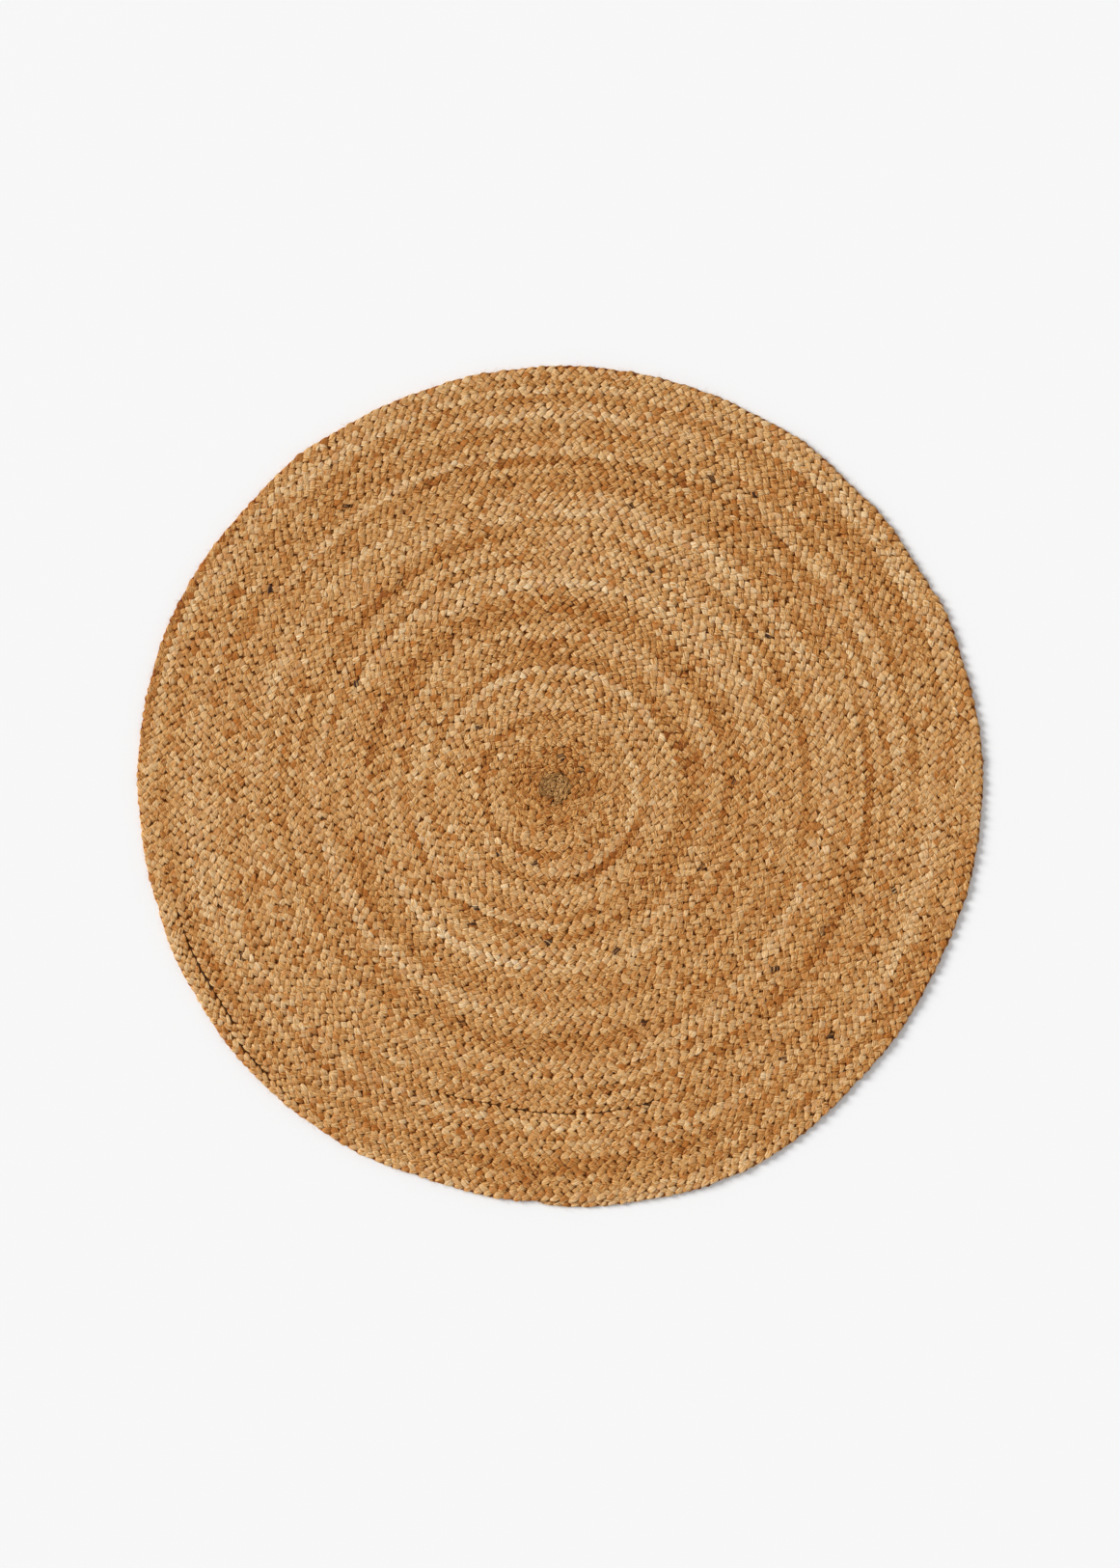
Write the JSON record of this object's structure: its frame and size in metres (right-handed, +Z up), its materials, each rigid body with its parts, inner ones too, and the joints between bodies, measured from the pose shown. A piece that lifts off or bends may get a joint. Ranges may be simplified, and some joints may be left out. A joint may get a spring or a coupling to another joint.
{
  "type": "round braided area rug",
  "caption": "Flat round floor rug: one long three-strand jute plait coiled from the centre and sewn edge to edge, its outer end thinned and sewn down.",
  "frame": {"origin": "middle of the rug's outline, on its underside where it lies on the floor", "axes": "+Z up, out of the walking surface, which is the rug's thin direction; the coil ends near -Y, and seen from above it runs clockwise from the centre outwards"},
  "size_m": [1.2032, 1.1956, 0.008],
  "materials": {
    "jute_plait": "dry matt jute fibre with a faint sheen along the strands",
    "jute_centre": "tightly wound jute fibre, darker and fuzzier",
    "sewing_thread": "plain pale twisted thread"
  },
  "bodies": {
    "root": {"centre_coil": "jute_centre", "plait_turn_01": "jute_plait", "plait_turn_02": "jute_plait", "plait_turn_03": "jute_plait", "plait_turn_04": "jute_plait", "plait_turn_05": "jute_plait", "plait_turn_06": "jute_plait", "plait_turn_07": "jute_plait", "plait_turn_08": "jute_plait", "plait_turn_09": "jute_plait", "plait_turn_10": "jute_plait", "plait_turn_11": "jute_plait", "plait_turn_12": "jute_plait", "plait_turn_13": "jute_plait", "plait_turn_14": "jute_plait", "plait_turn_15": "jute_plait", "plait_turn_16": "jute_plait", "plait_turn_17": "jute_plait", "plait_turn_18": "jute_plait", "plait_turn_19": "jute_plait", "plait_turn_20": "jute_plait", "plait_turn_21": "jute_plait", "plait_turn_22": "jute_plait", "plait_turn_23": "jute_plait", "plait_turn_24": "jute_plait", "plait_turn_25": "jute_plait", "plait_turn_26": "jute_plait", "plait_turn_27": "jute_plait", "plait_turn_28": "jute_plait", "plait_turn_29": "jute_plait", "plait_turn_30": "jute_plait", "plait_turn_31": "jute_plait", "plait_turn_32": "jute_plait", "plait_turn_33": "jute_plait", "plait_turn_34": "jute_plait", "plait_turn_35": "jute_plait", "plait_turn_36": "jute_plait", "plait_turn_37": "jute_plait", "plait_turn_38": "jute_plait", "plait_turn_39": "jute_plait", "plait_turn_40": "jute_plait", "plait_turn_41": "jute_plait", "plait_turn_42": "jute_plait", "plait_turn_43": "jute_plait", "plait_turn_44": "jute_plait", "plait_turn_45": "jute_plait", "plait_turn_46": "jute_plait", "plait_tail": "jute_plait", "seam_thread": "sewing_thread"}
  },
  "joints": []
}
